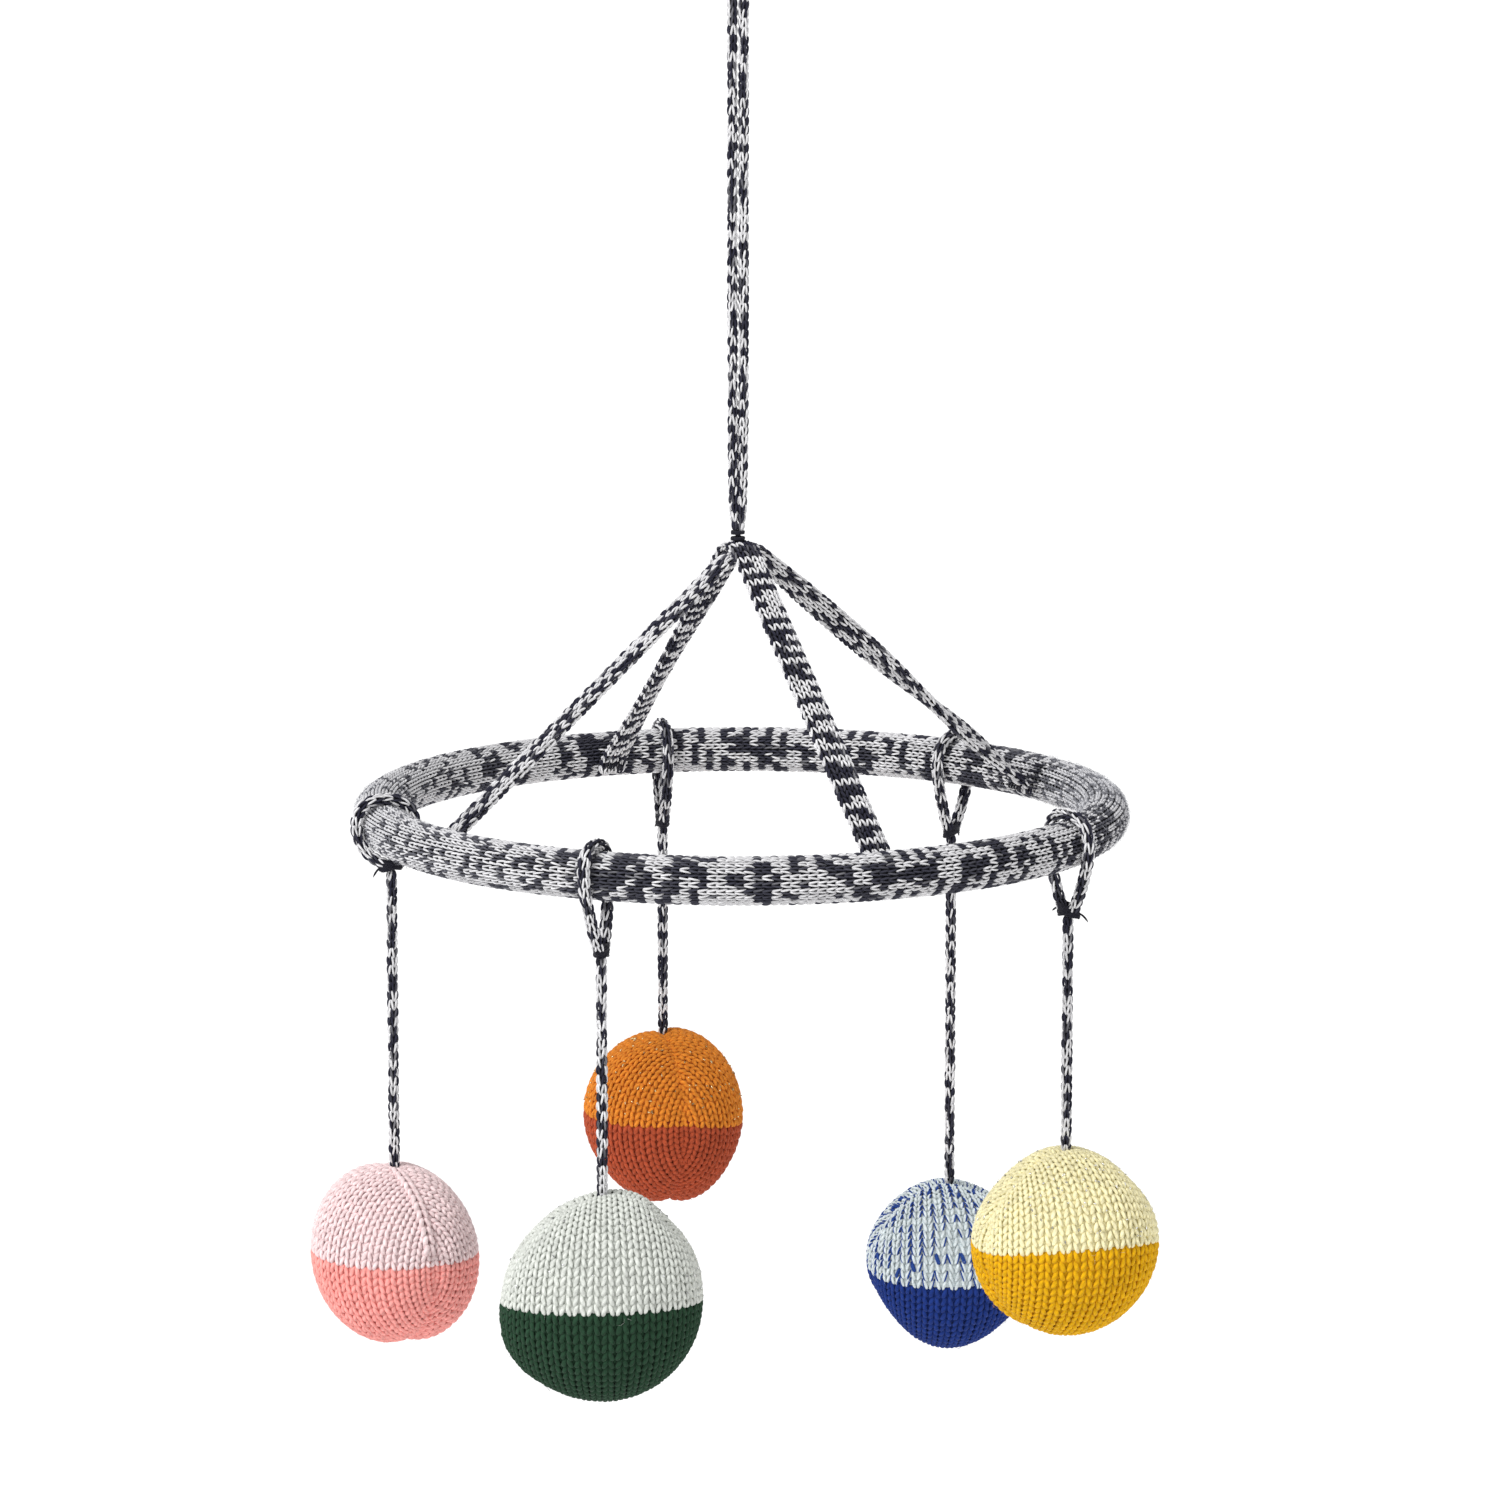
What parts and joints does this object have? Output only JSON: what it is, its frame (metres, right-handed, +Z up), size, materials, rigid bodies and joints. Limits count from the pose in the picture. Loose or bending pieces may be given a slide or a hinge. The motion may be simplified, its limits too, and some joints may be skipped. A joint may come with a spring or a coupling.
{
  "type": "crib mobile",
  "caption": "Knitted crib mobile: a padded ring on two crossed straps and a doubled hanging cord, with stuffed two-coloured balls on thin knitted cords.",
  "frame": {"origin": "inside top of the hanging loop, where a ceiling hook bears", "axes": "+Z up along the hanging cord; -Y is the front of the mobile as it is usually seen; the ring lies level, parallel to XY"},
  "size_m": [0.3253, 0.3382, 0.6148],
  "materials": {
    "melange_knit": "matte",
    "dark_thread": "matte",
    "wadding": "matte",
    "hoop_steel": "satin",
    "pink_light": "matte",
    "pink_deep": "matte",
    "green_light": "matte",
    "green_deep": "matte",
    "orange_light": "matte",
    "orange_deep": "matte",
    "blue_light": "matte",
    "blue_deep": "matte",
    "yellow_light": "matte",
    "yellow_deep": "matte"
  },
  "bodies": {
    "hanger": {"hanging_cord": "melange_knit"},
    "whipping": {"cord_whipping": "dark_thread"},
    "stitching": {"apex_stitching": "dark_thread"},
    "ring": {"ring_hoop": "hoop_steel", "ring_wadding": "wadding", "ring_cover": "melange_knit", "strap_over": "melange_knit", "strap_under": "melange_knit", "strap_stitches": "dark_thread"},
    "pink_loop": {"pink_loop": "melange_knit", "pink_binding": "dark_thread"},
    "pink_cord": {"pink_drop_cord": "melange_knit", "pink_knot": "melange_knit"},
    "pink_ball": {"pink_cover_top": "pink_light", "pink_cover_base": "pink_deep", "pink_filling": "wadding"},
    "green_loop": {"green_loop": "melange_knit", "green_binding": "dark_thread"},
    "green_cord": {"green_drop_cord": "melange_knit", "green_knot": "melange_knit"},
    "green_ball": {"green_cover_top": "green_light", "green_cover_base": "green_deep", "green_filling": "wadding"},
    "orange_loop": {"orange_loop": "melange_knit", "orange_binding": "dark_thread"},
    "orange_cord": {"orange_drop_cord": "melange_knit", "orange_knot": "melange_knit"},
    "orange_ball": {"orange_cover_top": "orange_light", "orange_cover_base": "orange_deep", "orange_filling": "wadding"},
    "blue_loop": {"blue_loop": "melange_knit", "blue_binding": "dark_thread"},
    "blue_cord": {"blue_drop_cord": "melange_knit", "blue_knot": "melange_knit"},
    "blue_ball": {"blue_cover_top": "blue_light", "blue_cover_base": "blue_deep", "blue_filling": "wadding"},
    "yellow_loop": {"yellow_loop": "melange_knit", "yellow_binding": "dark_thread"},
    "yellow_cord": {"yellow_drop_cord": "melange_knit", "yellow_knot": "melange_knit"},
    "yellow_ball": {"yellow_cover_top": "yellow_light", "yellow_cover_base": "yellow_deep", "yellow_filling": "wadding"}
  },
  "joints": [
    {"name": "ring_tilt_fore_aft", "type": "hinge", "parent": "hanger", "child": "whipping", "pos_m": [0, 0, -0.2537], "axis": [1, 0, 0], "range_deg": [-12, 12]},
    {"name": "ring_tilt_sideways", "type": "hinge", "parent": "whipping", "child": "stitching", "pos_m": [0, 0, -0.2565], "axis": [0, 1, 0], "range_deg": [-12, 12]},
    {"name": "mobile_spin", "type": "hinge", "parent": "stitching", "child": "ring", "pos_m": [0, 0, -0.2585], "axis": [0, 0, 1], "range_deg": [-180, 180]},
    {"name": "pink_loop_rock", "type": "hinge", "parent": "ring", "child": "pink_loop", "pos_m": [-0.13356, -0.04521, -0.3646], "axis": [0.3206, -0.9472, 0], "range_deg": [-15, 12]},
    {"name": "pink_cord_sway", "type": "hinge", "parent": "pink_loop", "child": "pink_cord", "pos_m": [-0.13356, -0.04521, -0.3811], "axis": [-0.9472, -0.3206, 0], "range_deg": [-10, 10]},
    {"name": "pink_ball_twist", "type": "hinge", "parent": "pink_cord", "child": "pink_ball", "pos_m": [-0.13356, -0.04521, -0.5292], "axis": [0, 0, 1], "range_deg": [-180, 180]},
    {"name": "green_loop_rock", "type": "hinge", "parent": "ring", "child": "green_loop", "pos_m": [-0.05145, -0.13128, -0.3646], "axis": [0.9311, -0.3649, 0], "range_deg": [-15, 12]},
    {"name": "green_cord_sway", "type": "hinge", "parent": "green_loop", "child": "green_cord", "pos_m": [-0.05145, -0.13128, -0.3947], "axis": [-0.3649, -0.9311, 0], "range_deg": [-10, 10]},
    {"name": "green_ball_twist", "type": "hinge", "parent": "green_cord", "child": "green_ball", "pos_m": [-0.05145, -0.13128, -0.5242], "axis": [0, 0, 1], "range_deg": [-180, 180]},
    {"name": "orange_loop_rock", "type": "hinge", "parent": "ring", "child": "orange_loop", "pos_m": [-0.03268, 0.13716, -0.3646], "axis": [-0.9728, -0.2317, 0], "range_deg": [-15, 12]},
    {"name": "orange_cord_sway", "type": "hinge", "parent": "orange_loop", "child": "orange_cord", "pos_m": [-0.03268, 0.13716, -0.3958], "axis": [-0.2317, 0.9728, 0], "range_deg": [-10, 10]},
    {"name": "orange_ball_twist", "type": "hinge", "parent": "orange_cord", "child": "orange_ball", "pos_m": [-0.03268, 0.13716, -0.5183], "axis": [0, 0, 1], "range_deg": [-180, 180]},
    {"name": "blue_loop_rock", "type": "hinge", "parent": "ring", "child": "blue_loop", "pos_m": [0.08525, 0.11231, -0.3646], "axis": [-0.7965, 0.6046, 0], "range_deg": [-15, 12]},
    {"name": "blue_cord_sway", "type": "hinge", "parent": "blue_loop", "child": "blue_cord", "pos_m": [0.08525, 0.11231, -0.3949], "axis": [0.6046, 0.7965, 0], "range_deg": [-10, 10]},
    {"name": "blue_ball_twist", "type": "hinge", "parent": "blue_cord", "child": "blue_ball", "pos_m": [0.08525, 0.11231, -0.5745], "axis": [0, 0, 1], "range_deg": [-180, 180]},
    {"name": "yellow_loop_rock", "type": "hinge", "parent": "ring", "child": "yellow_loop", "pos_m": [0.12368, -0.06771, -0.3646], "axis": [0.4802, 0.8771, 0], "range_deg": [-15, 12]},
    {"name": "yellow_cord_sway", "type": "hinge", "parent": "yellow_loop", "child": "yellow_cord", "pos_m": [0.12368, -0.06771, -0.3924], "axis": [0.8771, -0.4802, 0], "range_deg": [-10, 10]},
    {"name": "yellow_ball_twist", "type": "hinge", "parent": "yellow_cord", "child": "yellow_ball", "pos_m": [0.12368, -0.06771, -0.5186], "axis": [0, 0, 1], "range_deg": [-180, 180]}
  ]
}
